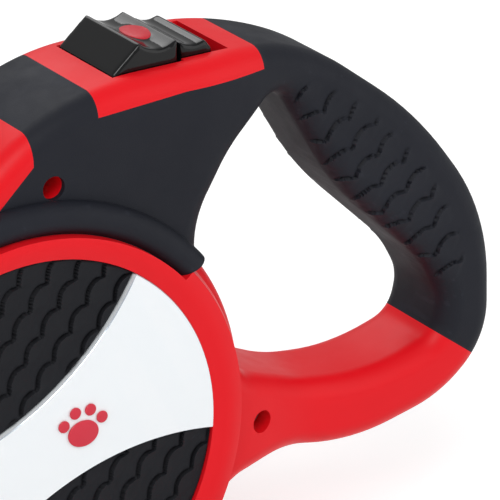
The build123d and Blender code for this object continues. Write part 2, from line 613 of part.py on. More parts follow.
def make_lock():
    """Lock button with its catch arm, the chassis under both buttons and the lock's detent spring."""
    flange = (BUTTON_FLANGE_FOOT, BUTTON_FLANGE_TOP)
    wide = LOCK_HALF + LOCK_FLANGE_OUT
    arm = (-CATCH_IN - 2 * FLANGE_OUT, -CATCH_IN - FLANGE_OUT - CATCH_GAP)
    catch = (LUG_FOOT - CATCH_GAP - CATCH_THICK, LUG_FOOT - CATCH_GAP)
    leg = (LOCK_FRONT + CATCH_LEG[0], LOCK_FRONT + CATCH_LEG[1])
    with BuildPart() as lock:
        with BuildSketch(REEL.offset(-LOCK_HALF)):
            with BuildLine():
                Polyline((LOCK_FRONT, flange[0]), (LOCK_BACK, flange[0]), (LOCK_BACK, LOCK_TOP - 3.5),
                         (LOCK_BACK - 2, LOCK_TOP - 1))
                ThreePointArc((LOCK_BACK - 2, LOCK_TOP - 1), (LOCK_BACK - 6, LOCK_TOP - 1.6), (LOCK_FRONT, LOCK_TOP))
                Line((LOCK_FRONT, LOCK_TOP), (LOCK_FRONT, flange[0]))
            make_face()
        extrude(amount=2 * LOCK_HALF)
        add(block((LOCK_FRONT, LOCK_BACK), flange, (-wide, wide)))
        add(block(leg, (catch[0], flange[1]), (arm[0], -RAIL_HALF - GAP)))
        add(block((CATCH[0], leg[1]), catch, arm))
        add(block(CATCH, catch, (arm[0], -CATCH_IN)))
    keep(lock.part, "lock_button")

    side = BODY_CAVITY_HALF - 2 * GAP
    with BuildPart() as chassis:
        add(block(CHASSIS_ENDS, (CHASSIS_Z, CHASSIS_TOP), (-side, side)))
        add(block((CHASSIS_ENDS[1], RAIL[1]), (CHASSIS_Z, CHASSIS_TOP), (-RAIL_HALF, RAIL_HALF)))
        add(block(RAIL, (CHASSIS_TOP - 1, BUTTON_FLANGE_FOOT - GAP), (-RAIL_HALF, RAIL_HALF)))
        half = STEM_WIDE / 2 + GAP
        add(block((PAWL_NOSE[0] - half, PAWL_NOSE[0] + half), (CHASSIS_Z, CHASSIS_TOP), (STEM_DEPTH[0] - GAP, side)),
            mode=Mode.SUBTRACT)
        add(block((54, 61), (BUTTON_FLANGE_FOOT - 3, BUTTON_FLANGE_FOOT), (-3, 3)), mode=Mode.SUBTRACT)
    keep(chassis.part, "button_chassis")

    low = BUTTON_FLANGE_FOOT - 3
    with BuildPart() as detent:
        with BuildSketch(REEL.offset(-2.5)):
            with BuildLine():
                ThreePointArc((54.4, low + 0.3), (57.5, low + 2.4), (60.6, low + 0.3))
            trace(line_width=0.4)
        extrude(amount=5)
    keep(detent.part, "lock_detent_spring")


# ================================================================ outlet
def make_outlet():
    """Tape guide in the nose, with its two rollers and their pins."""
    reach = GUIDE_WIDE / 2 - SEAT_FIT
    with BuildPart() as guide:
        with BuildSketch(MOUTH.offset(GUIDE_LIP - GUIDE_LONG)):
            Rectangle(GUIDE_WIDE, GUIDE_HIGH)
        extrude(amount=GUIDE_LONG)
        with BuildSketch(MOUTH.offset(GUIDE_LIP - GUIDE_LONG)):
            Rectangle(MOUTH_WIDE, MOUTH_HIGH)
        extrude(amount=GUIDE_LONG, mode=Mode.SUBTRACT)
        for side in (1, -1):
            at = along_tape(NOSE_REACH - ROLLER_BACK, side * ROLLER_OFF)
            pocket = ROLLER_R + WELL_GAP
            add(disc(pocket, -MOUTH_WIDE / 2, MOUTH_WIDE / 2, at), mode=Mode.SUBTRACT)
            add(disc(ROLLER_PIN_R, -reach, reach, at), mode=Mode.SUBTRACT)
    keep(guide.part, "tape_guide")
    for side, name in ((1, "upper"), (-1, "lower")):
        at = along_tape(NOSE_REACH - ROLLER_BACK, side * ROLLER_OFF)
        half = MOUTH_WIDE / 2 - GAP
        with BuildPart() as roller:
            add(disc(ROLLER_R, -half, half, at))
            add(disc(ROLLER_PIN_R + RUN_FIT, -half, half, at), mode=Mode.SUBTRACT)
        keep(roller.part, f"{name}_roller")
        keep(disc(ROLLER_PIN_R, -reach, reach, at), f"{name}_roller_pin")


if __name__ == "__main__":
    os.makedirs("parts", exist_ok=True)
    make_side_trim(make_casing())
    make_screws()
    make_reel()
    make_brake()
    make_lock()
    make_outlet()
    print("pawl swing", PAWL_SWING, "pivot", PAWL_PIVOT, "pack", PACK_R)
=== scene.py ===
"""Retractable leash: a casing with soft skins, side trim, thumb buttons and a tape reel, in a studio."""

import logging
from dataclasses import dataclass
from enum import Enum
from math import cos, pi, radians, sin, tau

import bpy
import numpy as np
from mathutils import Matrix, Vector


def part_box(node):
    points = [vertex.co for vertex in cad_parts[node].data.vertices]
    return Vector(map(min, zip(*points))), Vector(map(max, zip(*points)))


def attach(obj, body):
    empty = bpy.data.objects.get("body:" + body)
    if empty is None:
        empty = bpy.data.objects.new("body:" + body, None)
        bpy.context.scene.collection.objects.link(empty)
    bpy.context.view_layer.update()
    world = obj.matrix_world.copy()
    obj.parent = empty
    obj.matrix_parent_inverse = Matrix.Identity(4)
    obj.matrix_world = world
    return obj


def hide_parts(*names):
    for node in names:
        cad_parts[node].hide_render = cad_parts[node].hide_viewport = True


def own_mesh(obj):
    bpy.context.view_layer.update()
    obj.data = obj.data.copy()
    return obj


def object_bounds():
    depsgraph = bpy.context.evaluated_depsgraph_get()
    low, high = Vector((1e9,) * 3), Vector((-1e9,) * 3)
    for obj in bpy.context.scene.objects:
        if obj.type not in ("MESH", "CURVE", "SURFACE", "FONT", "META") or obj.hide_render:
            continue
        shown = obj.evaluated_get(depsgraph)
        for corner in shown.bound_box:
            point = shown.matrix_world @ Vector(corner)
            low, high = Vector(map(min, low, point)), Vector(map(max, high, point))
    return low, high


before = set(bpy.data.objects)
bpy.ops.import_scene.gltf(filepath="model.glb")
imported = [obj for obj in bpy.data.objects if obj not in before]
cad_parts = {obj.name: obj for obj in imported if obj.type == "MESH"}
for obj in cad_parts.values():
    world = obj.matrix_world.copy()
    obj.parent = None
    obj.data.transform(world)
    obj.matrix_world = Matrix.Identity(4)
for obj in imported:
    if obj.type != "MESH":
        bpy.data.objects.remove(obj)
CAD_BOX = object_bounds()
LOG = logging.getLogger("leash")
MM = 0.001
WELD = 2e-6
CUT_FIT = 1e-7
# Near-black colour of the painted shade in the scales' creases.
PAINTED_CREASE_SHADE = (0.002, 0.002, 0.003, 1.0)


def linear(red: int, green: int, blue: int) -> tuple[float, float, float, float]:
    """Turns an 8-bit screen colour into a linear one.

    Args:
        red: Red, from 0 to 255.
        green: Green, from 0 to 255.
        blue: Blue, from 0 to 255.

    Returns:
        The linear colour with full alpha.
    """
    shares = [value / 255 for value in (red, green, blue)]
    r, g, b = [share / 12.92 if share <= 0.04045 else ((share + 0.055) / 1.055) ** 2.4 for share in shares]
    return (r, g, b, 1.0)


class Side(Enum):
    """The two faces of the casing, by the sign of Y that points out of them."""

    NEAR = -1
    FAR = 1

    @property
    def word(self) -> str:
        """The side's name, as the pieces use it."""
        return self.name.lower()


# ---------------------------------------------------------------- finishes
class Effects:
    """Shader groups that several finishes share, each built once."""

    @staticmethod
    def _open(name: str, inputs: dict[str, float], outputs: tuple[str, ...]) -> tuple:
        """Starts a group with its own sockets.

        Args:
            name: The group's name.
            inputs: Number inputs, with their usual values.
            outputs: Names of the number outputs.

        Returns:
            The group, its input node and its output node.
        """
        group = bpy.data.node_groups.new(name, "ShaderNodeTree")
        group.interface.new_socket("Place", in_out="INPUT", socket_type="NodeSocketVector")
        for word, value in inputs.items():
            socket = group.interface.new_socket(word, in_out="INPUT", socket_type="NodeSocketFloat")
            socket.default_value = value
        for word in outputs:
            group.interface.new_socket(word, in_out="OUTPUT", socket_type="NodeSocketFloat")
        return group, group.nodes.new("NodeGroupInput"), group.nodes.new("NodeGroupOutput")

    @staticmethod
    def _noise(group: bpy.types.NodeTree, place: bpy.types.NodeSocket, scale: object, detail: float,
               rough: float = 0.55) -> bpy.types.NodeSocket:
        """Adds a noise texture to a group.

        Args:
            group: The group.
            place: The socket with the place on the piece.
            scale: A number, or the socket that gives it.
            detail: Octaves.
            rough: How strong the fine octaves are.

        Returns:
            The noise's value socket.
        """
        noise = group.nodes.new("ShaderNodeTexNoise")
        noise.inputs["Detail"].default_value = detail
        noise.inputs["Roughness"].default_value = rough
        group.links.new(place, noise.inputs["Vector"])
        if isinstance(scale, float):
            noise.inputs["Scale"].default_value = scale
        else:
            group.links.new(scale, noise.inputs["Scale"])
        return noise.outputs["Fac"]

    @classmethod
    def grain(cls) -> bpy.types.NodeTree:
        """Fine moulded grain, a slow drift of tone, and small smudges.

        Returns:
            The group, with Height, Drift and Smudge outputs from 0 to 1.
        """
        if "Moulded grain" in bpy.data.node_groups:
            return bpy.data.node_groups["Moulded grain"]
        group, start, end = cls._open("Moulded grain", {"Scale": 2500.0}, ("Height", "Drift", "Smudge"))
        place = start.outputs["Place"]
        group.links.new(cls._noise(group, place, start.outputs["Scale"], 3.0), end.inputs["Height"])
        group.links.new(cls._noise(group, place, 18.0, 2.0), end.inputs["Drift"])
        group.links.new(cls._noise(group, place, 95.0, 4.0, 0.65), end.inputs["Smudge"])
        return group

    @classmethod
    def worn_edges(cls) -> bpy.types.NodeTree:
        """Picks out the outward edges, broken up by noise.

        Returns:
            The group, with a Mask output from 0 to 1.
        """
        if "Worn edges" in bpy.data.node_groups:
            return bpy.data.node_groups["Worn edges"]
        group, start, end = cls._open("Worn edges", {"Start": 0.53, "Full": 0.62}, ("Mask",))
        sharp = group.nodes.new("ShaderNodeNewGeometry")
        ramp = group.nodes.new("ShaderNodeMapRange")
        group.links.new(sharp.outputs["Pointiness"], ramp.inputs["Value"])
        group.links.new(start.outputs["Start"], ramp.inputs["From Min"])
        group.links.new(start.outputs["Full"], ramp.inputs["From Max"])
        broken = group.nodes.new("ShaderNodeMath")
        broken.operation = "MULTIPLY"
        group.links.new(ramp.outputs["Result"], broken.inputs[0])
        group.links.new(cls._noise(group, start.outputs["Place"], 260.0, 3.0), broken.inputs[1])
        group.links.new(broken.outputs["Value"], end.inputs["Mask"])
        return group


@dataclass(frozen=True)
class Finish:
    """A moulded or metal finish: colour with drift and edge tone, painted shade in marked creases, roughness
    with smudges, and fine grain.
    """

    name: str
    colour: tuple[float, float, float, float]
    deep: tuple[float, float, float, float]
    edge: tuple[float, float, float, float]
    rough: float = 0.4
    rough_span: float = 0.12
    grain: float = 2500.0
    relief: float = 0.00002
    edge_share: float = 0.35
    metal: float = 0.0
    specular: float = 0.5
    coat: float = 0.0
    sheen: float = 0.0
    # How far the painted shade darkens the piece's creases, from 0 to 1.
    crease_and_shade: float = 0.0

    def material(self) -> bpy.types.Material:
        """Builds the material once.

        Returns:
            The material.
        """
        if self.name in bpy.data.materials:
            return bpy.data.materials[self.name]
        made = bpy.data.materials.new(self.name)
        made.use_nodes = True
        tree = made.node_tree
        shader = tree.nodes["Principled BSDF"]
        place = tree.nodes.new("ShaderNodeTexCoord").outputs["Object"]
        grain = self._effect(tree, Effects.grain(), place)
        grain.inputs["Scale"].default_value = self.grain
        worn = self._effect(tree, Effects.worn_edges(), place)
        drift = self._mix(tree, grain.outputs["Drift"], self.deep, self.colour)
        share = tree.nodes.new("ShaderNodeMath")
        share.operation = "MULTIPLY"
        share.inputs[1].default_value = self.edge_share
        tree.links.new(worn.outputs["Mask"], share.inputs[0])
        tone = self._mix(tree, share.outputs["Value"], None, self.edge)
        tree.links.new(drift, self._colour_input(tone.node, "A"))
        tree.links.new(self._paint_crease_shade(tree, tone), shader.inputs["Base Color"])
        spread = tree.nodes.new("ShaderNodeMapRange")
        spread.inputs["From Min"].default_value = 0.3
        spread.inputs["From Max"].default_value = 0.7
        spread.inputs["To Min"].default_value = self.rough - self.rough_span / 2
        spread.inputs["To Max"].default_value = self.rough + self.rough_span / 2
        tree.links.new(grain.outputs["Smudge"], spread.inputs["Value"])
        tree.links.new(spread.outputs["Result"], shader.inputs["Roughness"])
        bump = tree.nodes.new("ShaderNodeBump")
        bump.inputs["Distance"].default_value = self.relief
        bump.inputs["Strength"].default_value = 1.0
        tree.links.new(grain.outputs["Height"], bump.inputs["Height"])
        tree.links.new(bump.outputs["Normal"], shader.inputs["Normal"])
        shader.inputs["Metallic"].default_value = self.metal
        shader.inputs["Specular IOR Level"].default_value = self.specular
        shader.inputs["Coat Weight"].default_value = self.coat
        shader.inputs["Sheen Weight"].default_value = self.sheen
        return made

    def _paint_crease_shade(self, tree: bpy.types.NodeTree, colour: bpy.types.NodeSocket) -> bpy.types.NodeSocket:
        """Paints shade into the colour in a piece's marked creases.

        Args:
            tree: The material's nodes.
            colour: The colour's socket.

        Returns:
            The socket of the colour with painted crease shade, or the colour's own one where the finish
            paints no crease shade.
        """
        if not self.crease_and_shade:
            return colour
        marks = tree.nodes.new("ShaderNodeAttribute")
        marks.attribute_name = "crease_and_shade"
        share = tree.nodes.new("ShaderNodeMath")
        share.operation = "MULTIPLY"
        share.inputs[1].default_value = self.crease_and_shade
        tree.links.new(marks.outputs["Fac"], share.inputs[0])
        # Painted shade: the colour goes towards near-black where the crease mask is high.
        dark = self._mix(tree, share.outputs["Value"], None, PAINTED_CREASE_SHADE)
        tree.links.new(colour, self._colour_input(dark.node, "A"))
        return dark

    @staticmethod
    def _colour_input(mix: bpy.types.Node, word: str) -> bpy.types.NodeSocket:
        """The colour socket of that name on a Mix node."""
        return [socket for socket in mix.inputs if socket.name == word and socket.type == "RGBA"][0]

    @staticmethod
    def _effect(tree: bpy.types.NodeTree, group: bpy.types.NodeTree,
                place: bpy.types.NodeSocket) -> bpy.types.Node:
        """Places a shared group in a material.

        Args:
            tree: The material's nodes.
            group: The shared group.
            place: The socket with the place on the piece.

        Returns:
            The group's node.
        """
        node = tree.nodes.new("ShaderNodeGroup")
        node.node_tree = group
        tree.links.new(place, node.inputs["Place"])
        return node

    @classmethod
    def _mix(cls, tree: bpy.types.NodeTree, share: bpy.types.NodeSocket, low: tuple | None,
             high: tuple | None) -> bpy.types.NodeSocket:
        """Blends two colours by a mask.

        Args:
            tree: The material's nodes.
            share: The mask's socket.
            low: Colour at 0, or None where it is linked later.
            high: Colour at 1.

        Returns:
            The blended colour's socket.
        """
        mix = tree.nodes.new("ShaderNodeMix")
        mix.data_type = "RGBA"
        tree.links.new(share, mix.inputs["Factor"])
        for word, colour in (("A", low), ("B", high)):
            if colour is not None:
                cls._colour_input(mix, word).default_value = colour
        return [s for s in mix.outputs if s.type == "RGBA"][0]


RED_SHELL = Finish("Red shell", linear(236, 20, 32), linear(224, 14, 26), linear(246, 56, 62),
                   rough=0.4, grain=3200.0, relief=0.00001, edge_share=0.2, specular=0.2)
# The soft skin and the pads darken their scale creases with painted shade.
BLACK_SKIN = Finish("Black soft skin", linear(30, 32, 41), linear(25, 27, 34), linear(58, 61, 72),
                    rough=0.58, grain=2600.0, relief=0.00003, edge_share=0.3, specular=0.2, crease_and_shade=0.8)
BLACK_PAD = Finish("Black rubber pad", linear(30, 31, 36), linear(24, 25, 29), linear(54, 56, 62),
                   rough=0.64, grain=2200.0, relief=0.00004, edge_share=0.4, specular=0.18, crease_and_shade=0.9)
GLOSS_BLACK = Finish("Gloss black", linear(11, 12, 14), linear(8, 9, 10), linear(40, 42, 45),
                     rough=0.1, rough_span=0.04, grain=900.0, relief=0.000003, edge_share=0.1, specular=0.35)
RED_INLAY = Finish("Red inlay", linear(205, 30, 48), linear(190, 24, 42), linear(225, 70, 80),
                   rough=0.4, grain=3000.0, relief=0.00002, specular=0.4)
WHITE_PLATE = Finish("White plate", linear(246, 250, 252), linear(240, 246, 250), linear(252, 253, 254),
                     rough=0.2, rough_span=0.06, grain=1200.0, relief=0.000004, coat=0.5)
CLEAR_RIM = Finish("Silver rim", linear(196, 208, 218), linear(176, 190, 202), linear(240, 246, 250),
                   rough=0.12, rough_span=0.08, grain=700.0, relief=0.00001, edge_share=0.7, metal=0.35,
                   coat=0.6)
RED_EMBLEM = Finish("Red emblem", linear(214, 40, 62), linear(205, 32, 54), linear(232, 90, 104),
                    rough=0.35, grain=2600.0, relief=0.00001)
STEEL = Finish("Steel", linear(186, 188, 190), linear(160, 163, 166), linear(225, 226, 228),
               rough=0.3, grain=5200.0, relief=0.00001, metal=1.0)
DARK_STEEL = Finish("Spring steel", linear(120, 118, 116), linear(86, 84, 88), linear(170, 168, 166),
                    rough=0.34, grain=4200.0, relief=0.00001, metal=1.0)
NYLON = Finish("Black nylon", linear(30, 31, 33), linear(24, 25, 27), linear(60, 61, 63),
               rough=0.5, grain=1800.0, relief=0.00003)
ACETAL = Finish("White acetal", linear(232, 232, 226), linear(222, 222, 214), linear(244, 244, 240),
                rough=0.38, grain=1500.0, relief=0.00001)
BRONZE = Finish("Oiled bronze", linear(168, 122, 70), linear(140, 98, 52), linear(206, 164, 104),
                rough=0.42, grain=2800.0, relief=0.00002, metal=1.0)
TAPE = Finish("Black tape", linear(34, 35, 39), linear(24, 25, 28), linear(80, 82, 88),
              rough=0.75, grain=1400.0, relief=0.00012, sheen=0.3)


# ---------------------------------------------------------------- hand work on meshes
class Bench:
    """The steps that pieces have in common: picking, copying, welding, cutting and smoothing."""

    @staticmethod
    def pick(piece: bpy.types.Object) -> bpy.types.Object:
        """Selects one object and nothing else, and makes it the active one."""
        bpy.ops.object.select_all(action="DESELECT")
        piece.select_set(True)
        bpy.context.view_layer.objects.active = piece
        return piece

    @classmethod
    def from_node(cls, node: str, name: str) -> bpy.types.Object:
        """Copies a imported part's mesh to a new object and welds it.

        Args:
            node: The part's name.
            name: The new object's name.

        Returns:
            The new object.
        """
        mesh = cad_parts[node].data.copy()
        mesh.materials.clear()
        piece = bpy.data.objects.new(name, mesh)
        bpy.context.scene.collection.objects.link(piece)
        cls.pick(piece)
        bpy.ops.mesh.customdata_custom_splitnormals_clear()
        bpy.ops.object.mode_set(mode="EDIT")
        bpy.ops.mesh.select_all(action="SELECT")
        bpy.ops.mesh.remove_doubles(threshold=WELD)
        bpy.ops.object.mode_set(mode="OBJECT")
        return piece

    @classmethod
    def smooth(cls, piece: bpy.types.Object, angle: float = 28.0) -> None:
        """Shades a piece smooth, but for edges sharper than the angle in degrees."""
        cls.pick(piece)
        bpy.ops.object.shade_smooth_by_angle(angle=radians(angle))

    @classmethod
    def round_edges(cls, piece: bpy.types.Object, width: float, steps: int = 3, angle: float = 35.0,
                    skin: int = -1) -> None:
        """Rounds a piece's sharp edges.

        Args:
            piece: The piece.
            width: How far the rounding reaches from each edge, in metres.
            steps: Facets across it.
            angle: Edges flatter than this many degrees stay.
            skin: Material slot of the rounding, or -1 for its neighbours' one.
        """
        cls.pick(piece)
        bpy.ops.object.mode_set(mode="EDIT")
        bpy.ops.mesh.select_all(action="SELECT")
        bpy.ops.mesh.dissolve_limited(angle_limit=radians(1.0))
        bpy.ops.object.mode_set(mode="OBJECT")
        bevel = piece.modifiers.new("Rounding", "BEVEL")
        bevel.width = width
        bevel.segments = steps
        bevel.limit_method = "ANGLE"
        bevel.angle_limit = radians(angle)
        bevel.material = skin
        bevel.harden_normals = False
        bpy.ops.object.modifier_apply(modifier=bevel.name)

    @classmethod
    def soften(cls, piece: bpy.types.Object, grid: float, passes: int, foot: float) -> None:
        """Rounds every edge of a moulded piece above a height, inner corners too.

        Args:
            piece: The piece.
            grid: Grid of the even mesh that replaces its own, in metres.
            passes: How often that mesh is relaxed.
            foot: Height in metres under which it stays sharp.
        """
        cls.pick(piece)
        even = piece.modifiers.new("Even mesh", "REMESH")
        even.mode = "VOXEL"
        even.voxel_size = grid
        even.use_smooth_shade = True
        bpy.ops.object.modifier_apply(modifier=even.name)
        soft = piece.vertex_groups.new(name="Soft")
        soft.add(np.flatnonzero(cls.points(piece)[:, 2] > foot).tolist(), 1.0, "REPLACE")
        relax = piece.modifiers.new("Relaxed", "SMOOTH")
        relax.vertex_group = soft.name
        relax.factor = 0.5
        relax.iterations = passes
        bpy.ops.object.modifier_apply(modifier=relax.name)

    @staticmethod
    def points(piece: bpy.types.Object) -> np.ndarray:
        """Every vertex's place, one row each."""
        places = np.zeros(len(piece.data.vertices) * 3)
        piece.data.vertices.foreach_get("co", places)
        return places.reshape(-1, 3)

    @staticmethod
    def place(piece: bpy.types.Object, places: np.ndarray) -> None:
        """Moves every vertex to its row's place."""
        piece.data.vertices.foreach_set("co", places.ravel())
        piece.data.update()

    @staticmethod
    def mark_painted_crease_shade(piece: bpy.types.Object, depth: np.ndarray) -> None:
        """Stores how deep in a crease each vertex lies, for the finish to paint shade there."""
        marks = piece.data.attributes.new("crease_and_shade", "FLOAT", "POINT")
        marks.data.foreach_set("value", depth)

    @staticmethod
    def dress(piece: bpy.types.Object, body: str, slot: str, nodes: tuple[str, ...],
              *finishes: Finish) -> None:
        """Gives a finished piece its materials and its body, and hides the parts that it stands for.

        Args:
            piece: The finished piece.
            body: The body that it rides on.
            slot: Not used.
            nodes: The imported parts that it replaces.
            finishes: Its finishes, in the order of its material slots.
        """
        for at, finish in enumerate(finishes):
            if at < len(piece.data.materials):
                piece.data.materials[at] = finish.material()
            else:
                piece.data.materials.append(finish.material())
        if nodes:
            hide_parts(*nodes)
        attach(piece, body)
        LOG.info("%s: %d faces on %s", piece.name, len(piece.data.polygons), body)


def reel_centre() -> Vector:
    """The middle of the spindle, which the reel turns on."""
    low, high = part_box("spindle")
    return (low + high) / 2


REEL = reel_centre()


def arc(first: tuple, middle: tuple, last: tuple, shares: np.ndarray) -> np.ndarray:
    """Points on the circular arc through three others.

    Args:
        first: Start of the arc.
        middle: A point on it.
        last: End of the arc.
        shares: How far along each point lies, from 0 to 1.

    Returns:
        One row per share.
    """
    (ax, ay), (bx, by), (cx, cy) = first, middle, last
    spread = 2 * (ax * (by - cy) + bx * (cy - ay) + cx * (ay - by))
    ux = ((ax**2 + ay**2) * (by - cy) + (bx**2 + by**2) * (cy - ay) + (cx**2 + cy**2) * (ay - by)) / spread
    uy = ((ax**2 + ay**2) * (cx - bx) + (bx**2 + by**2) * (ax - cx) + (cx**2 + cy**2) * (bx - ax)) / spread
    start, end = np.arctan2(ay - uy, ax - ux), np.arctan2(cy - uy, cx - ux)
    sweep = (end - start + pi) % tau - pi
    radius = np.hypot(ax - ux, ay - uy)
    turn = start + sweep * shares
    return np.stack([ux + radius * np.cos(turn), uy + radius * np.sin(turn)], axis=1)


def ease(value: np.ndarray, start: float, full: float) -> np.ndarray:
    """A smooth step from 0 at start to 1 at full."""
    share = np.clip((value - start) / (full - start), 0, 1)
    return share * share * (3 - 2 * share)


@dataclass(frozen=True)
class FishScales:
    """Moulded relief of overlapping scales, each with a raised left and upper rim that a crease undercuts."""

    pitch: float = 8.1
    row: float = 7.0
    turn: float = -7.0
    rim_turn: float = 152.0
    rim_fade: float = 2.4
    crease_wide: float = 0.55
    leg: float = 0.5

    def relief(self, u: np.ndarray, w: np.ndarray) -> tuple[np.ndarray, np.ndarray]:
        """Relief at places on the side face.

        Args:
            u: Distance back from the reel, in millimetres.
            w: Height above the reel, in millimetres.

        Returns:
            How high each place stands, from 0 to 1, and how deep in a crease it lies, from 0 to 1, which the
            finish also paints as shade.
        """
        c, s = cos(radians(self.turn)), sin(radians(self.turn))
        p, q = c * u + s * w, c * w - s * u
        radius = 0.56 * self.pitch
        rise, crease_and_shade = np.zeros_like(p), np.zeros_like(p)
        settled = np.zeros(p.shape, bool)
        lowest = np.ceil((q - radius) / self.row)
        for step in range(3):
            line = lowest + step
            shift = 0.5 * np.mod(line, 2)
            rightmost = np.floor((p + radius) / self.pitch - shift)
            for back in range(3):
                dp = p - (rightmost + 1 - back + shift) * self.pitch
                dq = q - line * self.row
                reach = np.hypot(dp, np.where(dq < 0, dq * self.leg, dq))
                facing = np.cos(np.arctan2(dq, dp) - radians(self.rim_turn))
                rim = ease(facing, 0.1, 0.75)
                inside = ~settled & (reach < radius) & (dq > -self.row)
                rise[inside] = (rim * np.exp((reach - radius) / self.rim_fade))[inside]
                outside = ~settled & ~inside & (dq > -self.row)
                undercut = rim * np.exp(-(((reach - radius) / self.crease_wide) ** 2))
                crease_and_shade[outside] = np.maximum(crease_and_shade, undercut)[outside]
                settled |= inside
        return rise, crease_and_shade


def depth_inside(u: np.ndarray, w: np.ndarray, corners: list[tuple[float, float]]) -> np.ndarray:
    """How far each place is inside a closed outline, negative outside it.

    Args:
        u: Distances back.
        w: Heights.
        corners: The outline's corners, in order.

    Returns:
        One distance for each place.
    """
    nearest, crossings = np.full_like(u, 1e9), np.zeros(u.shape, int)
    for (au, aw), (bu, bw) in zip(corners, corners[1:] + corners[:1]):
        du, dw = bu - au, bw - aw
        along = np.clip(((u - au) * du + (w - aw) * dw) / (du * du + dw * dw), 0, 1)
        nearest = np.minimum(nearest, np.hypot(u - au - along * du, w - aw - along * dw))
        straddles = (aw > w) != (bw > w)
        if dw:
            crossings += straddles & (u < au + (w - aw) * du / dw)
    return np.where(crossings % 2 == 1, nearest, -nearest)


# ---------------------------------------------------------------- casing
@dataclass
class Casing:
    """Two red shells, their soft skins with the scaled grip, and the button bezel."""

    scale_tall: float = 0.6
    crease_deep: float = 0.6
    cut_step: float = 0.6
    cut_back: tuple[float, float] = (81, 141)
    cut_up: tuple[float, float] = (4, 82)
    reach: float = 1.0
    reach_up: float = 2.0
    outward: float = 0.15
    fade_edge: float = 2.2
    fade_facing: tuple[float, float] = (0.2, 0.6)
    skin_angle: float = 32.0
    grip_scales: FishScales = FishScales(pitch=8.8, row=7.4, turn=-24.0)
    grip_zone: tuple[tuple[float, float], ...] = (
        (82, 79.5), (92, 78), (101.5, 72.5), (110, 65), (118, 57), (126, 47.5), (132, 38), (136.5, 28),
        (139, 18), (138, 8), (133, 10), (124.5, 19.5), (115, 28.5), (105.5, 38.5), (97, 48.5),
        (91, 59), (85.5, 70))

    def build(self) -> None:
        """Builds every piece of the casing."""
        for side in Side:
            shell = Bench.from_node(f"{side.word}_shell", f"{side.word}_shell_moulding")
            Bench.smooth(shell)
            Bench.dress(shell, "root", "red_plastic", (f"{side.word}_shell",), RED_SHELL)
            skin = Bench.from_node(f"{side.word}_overmould", f"{side.word}_soft_skin")
            self._scale_grip(skin, side)
            Bench.smooth(skin, self.skin_angle)
            Bench.dress(skin, "root", "soft_black", (f"{side.word}_overmould",), BLACK_SKIN)
        bezel = Bench.from_node("button_bezel", "bezel_moulding")
        Bench.smooth(bezel)
        Bench.dress(bezel, "root", "red_plastic", ("button_bezel",), RED_SHELL)

    def _scale_grip(self, skin: bpy.types.Object, side: Side) -> None:
        """Cuts the grip's outer face into small cells and raises the scales on it.

        Args:
            skin: The soft skin.
            side: The side that it covers.
        """
        zone = list(self.grip_zone)
        mesh = skin.data
        for face in mesh.polygons:
            u, w = (face.center.x - REEL.x) / MM, (face.center.z - REEL.z) / MM
            corners = [mesh.vertices[i].co for i in face.vertices]
            us, ws = [(c.x - REEL.x) / MM for c in corners], [(c.z - REEL.z) / MM for c in corners]
            behind = max(us + [u]) > self.cut_back[0] - self.reach
            above = max(ws + [w]) > self.cut_up[0] - self.reach_up
            below = min(ws) < self.cut_up[1] + self.reach_up
            face.select = behind and above and below and face.normal.y * side.value > self.outward
        Bench.pick(skin)
        bpy.ops.object.mode_set(mode="EDIT")
        bpy.ops.mesh.select_mode(type="FACE")
        bpy.ops.mesh.separate(type="SELECTED")
        bpy.ops.object.mode_set(mode="OBJECT")
        patch = [piece for piece in bpy.context.selected_objects if piece is not skin][0]
        Bench.pick(patch)
        bpy.ops.object.mode_set(mode="EDIT")
        for axis, (low, high), centre in ((0, self.cut_back, REEL.x), (2, self.cut_up, REEL.z)):
            normal = [0.0, 0.0, 0.0]
            normal[axis] = 1.0
            for at in np.arange(low, high, self.cut_step):
                spot = [0.0, 0.0, 0.0]
                spot[axis] = centre + at * MM
                bpy.ops.mesh.select_all(action="SELECT")
                bpy.ops.mesh.bisect(plane_co=spot, plane_no=normal, threshold=CUT_FIT)
        bpy.ops.object.mode_set(mode="OBJECT")
        Bench.pick(patch)
        skin.select_set(True)
        bpy.context.view_layer.objects.active = skin
        bpy.ops.object.join()
        bpy.ops.object.mode_set(mode="EDIT")
        bpy.ops.mesh.select_all(action="SELECT")
        bpy.ops.mesh.remove_doubles(threshold=WELD)
        bpy.ops.object.mode_set(mode="OBJECT")
        places = Bench.points(skin)
        normals = np.array([vertex.normal for vertex in skin.data.vertices])
        u, w = (places[:, 0] - REEL.x) / MM, (places[:, 2] - REEL.z) / MM
        facing = ease(normals[:, 1] * side.value, *self.fade_facing)
        share = ease(depth_inside(u, w, zone), 0.0, self.fade_edge) * facing
        rise, crease_and_shade = self.grip_scales.relief(u, w)
        lift = self.scale_tall * MM * share * (rise - self.crease_deep * crease_and_shade)
        Bench.place(skin, places + normals * lift[:, None])
        # The crease mask, which the finish paints as shade.
        Bench.mark_painted_crease_shade(skin, crease_and_shade * share)


